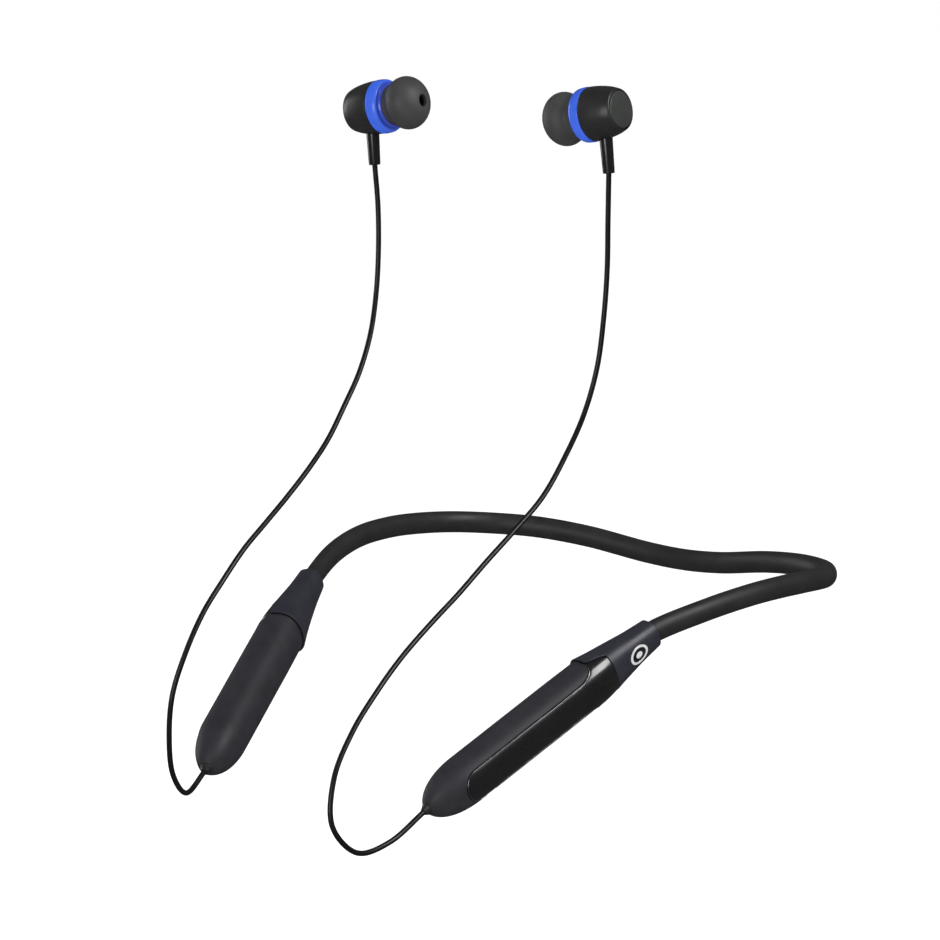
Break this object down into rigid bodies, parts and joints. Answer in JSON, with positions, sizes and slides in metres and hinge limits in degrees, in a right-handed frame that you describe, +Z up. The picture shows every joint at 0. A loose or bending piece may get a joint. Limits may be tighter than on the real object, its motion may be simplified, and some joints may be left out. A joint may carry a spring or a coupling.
{
  "type": "neckband earphones",
  "caption": "Neckband earphones as worn: an oval band with a module at each end and an earbud on a cord from each module.",
  "frame": {"origin": "inner face of the neckband at the back of the neck, on the plane of symmetry", "axes": "+X to the wearer's left, -Y to the wearer's front, +Z up"},
  "size_m": [0.115, 0.1719, 0.1548],
  "materials": {
    "silicone": "matte",
    "satin": "satin",
    "matte": "matte",
    "gloss": "gloss",
    "blue": "gloss",
    "tip": "matte",
    "cord": "satin",
    "steel": "satin",
    "copper": "satin",
    "board": "satin",
    "chip": "satin",
    "cell": "satin",
    "film": "satin",
    "lens": "gloss"
  },
  "bodies": {
    "neckband": {"sleeve_back": "silicone", "left_sleeve_bend": "silicone", "right_sleeve_bend": "silicone", "memory_wire": "steel", "signal_cable": "copper"},
    "left_arm": {"left_sleeve_arm": "silicone", "left_collar": "satin", "left_badge": "film", "left_wire_crimp": "steel", "left_body_shell": "matte", "left_outer_cover": "gloss", "left_cord_grommet": "silicone", "main_board": "board", "bluetooth_chip": "chip", "switch_volume_up": "chip", "switch_play": "chip", "switch_volume_down": "chip", "led_light_pipe": "lens", "microphone": "steel", "usb_c_socket": "steel", "left_cord": "cord", "left_strain_relief": "satin", "left_rear_housing": "satin", "left_rear_cap": "satin", "left_clasp_magnet": "steel", "left_front_shell": "blue", "left_nozzle_screen": "steel", "left_driver_basket": "chip", "left_driver_magnet": "steel", "left_diaphragm": "film"},
    "right_arm": {"right_sleeve_arm": "silicone", "right_collar": "satin", "right_badge": "film", "right_wire_crimp": "steel", "right_body_shell": "matte", "right_outer_cover": "gloss", "right_cord_grommet": "silicone", "battery_cell": "cell", "protection_board": "board", "right_cord": "cord", "right_strain_relief": "satin", "right_rear_housing": "satin", "right_rear_cap": "satin", "right_clasp_magnet": "steel", "right_front_shell": "blue", "right_nozzle_screen": "steel", "right_driver_basket": "chip", "right_driver_magnet": "steel", "right_diaphragm": "film"},
    "volume_up_key": {"button_volume_up": "satin"},
    "play_key": {"button_play": "satin"},
    "volume_down_key": {"button_volume_down": "satin"},
    "left_tip": {"left_ear_tip": "tip"},
    "right_tip": {"right_ear_tip": "tip"}
  },
  "joints": [
    {"name": "left_arm_flex", "type": "hinge", "parent": "neckband", "child": "left_arm", "pos_m": [0.0382, -0.0056, 0.0047], "axis": [0, 0, 1], "range_deg": [-6, 20], "stiffness_Nm_per_rad": 0.4, "deforming": ["left_sleeve_bend", "memory_wire", "signal_cable"]},
    {"name": "right_arm_flex", "type": "hinge", "parent": "neckband", "child": "right_arm", "pos_m": [-0.0382, -0.0056, 0.0047], "axis": [0, 0, -1], "range_deg": [-6, 20], "stiffness_Nm_per_rad": 0.4, "deforming": ["right_sleeve_bend", "memory_wire", "signal_cable"]},
    {"name": "volume_up_press", "type": "slide", "parent": "left_arm", "child": "volume_up_key", "axis": [0.9699, -0.2178, -0.1087], "range_m": [0, 0.0004], "stiffness_N_per_m": 1500},
    {"name": "play_press", "type": "slide", "parent": "left_arm", "child": "play_key", "axis": [0.9699, -0.2178, -0.1087], "range_m": [0, 0.0004], "stiffness_N_per_m": 1500},
    {"name": "volume_down_press", "type": "slide", "parent": "left_arm", "child": "volume_down_key", "axis": [0.9699, -0.2178, -0.1087], "range_m": [0, 0.0004], "stiffness_N_per_m": 1500},
    {"name": "left_tip_pull", "type": "slide", "parent": "left_arm", "child": "left_tip", "axis": [-0.9767, 0, -0.2147], "range_m": [0, 0.007]},
    {"name": "right_tip_pull", "type": "slide", "parent": "right_arm", "child": "right_tip", "axis": [0.9806, 0, 0.1959], "range_m": [0, 0.007]}
  ]
}
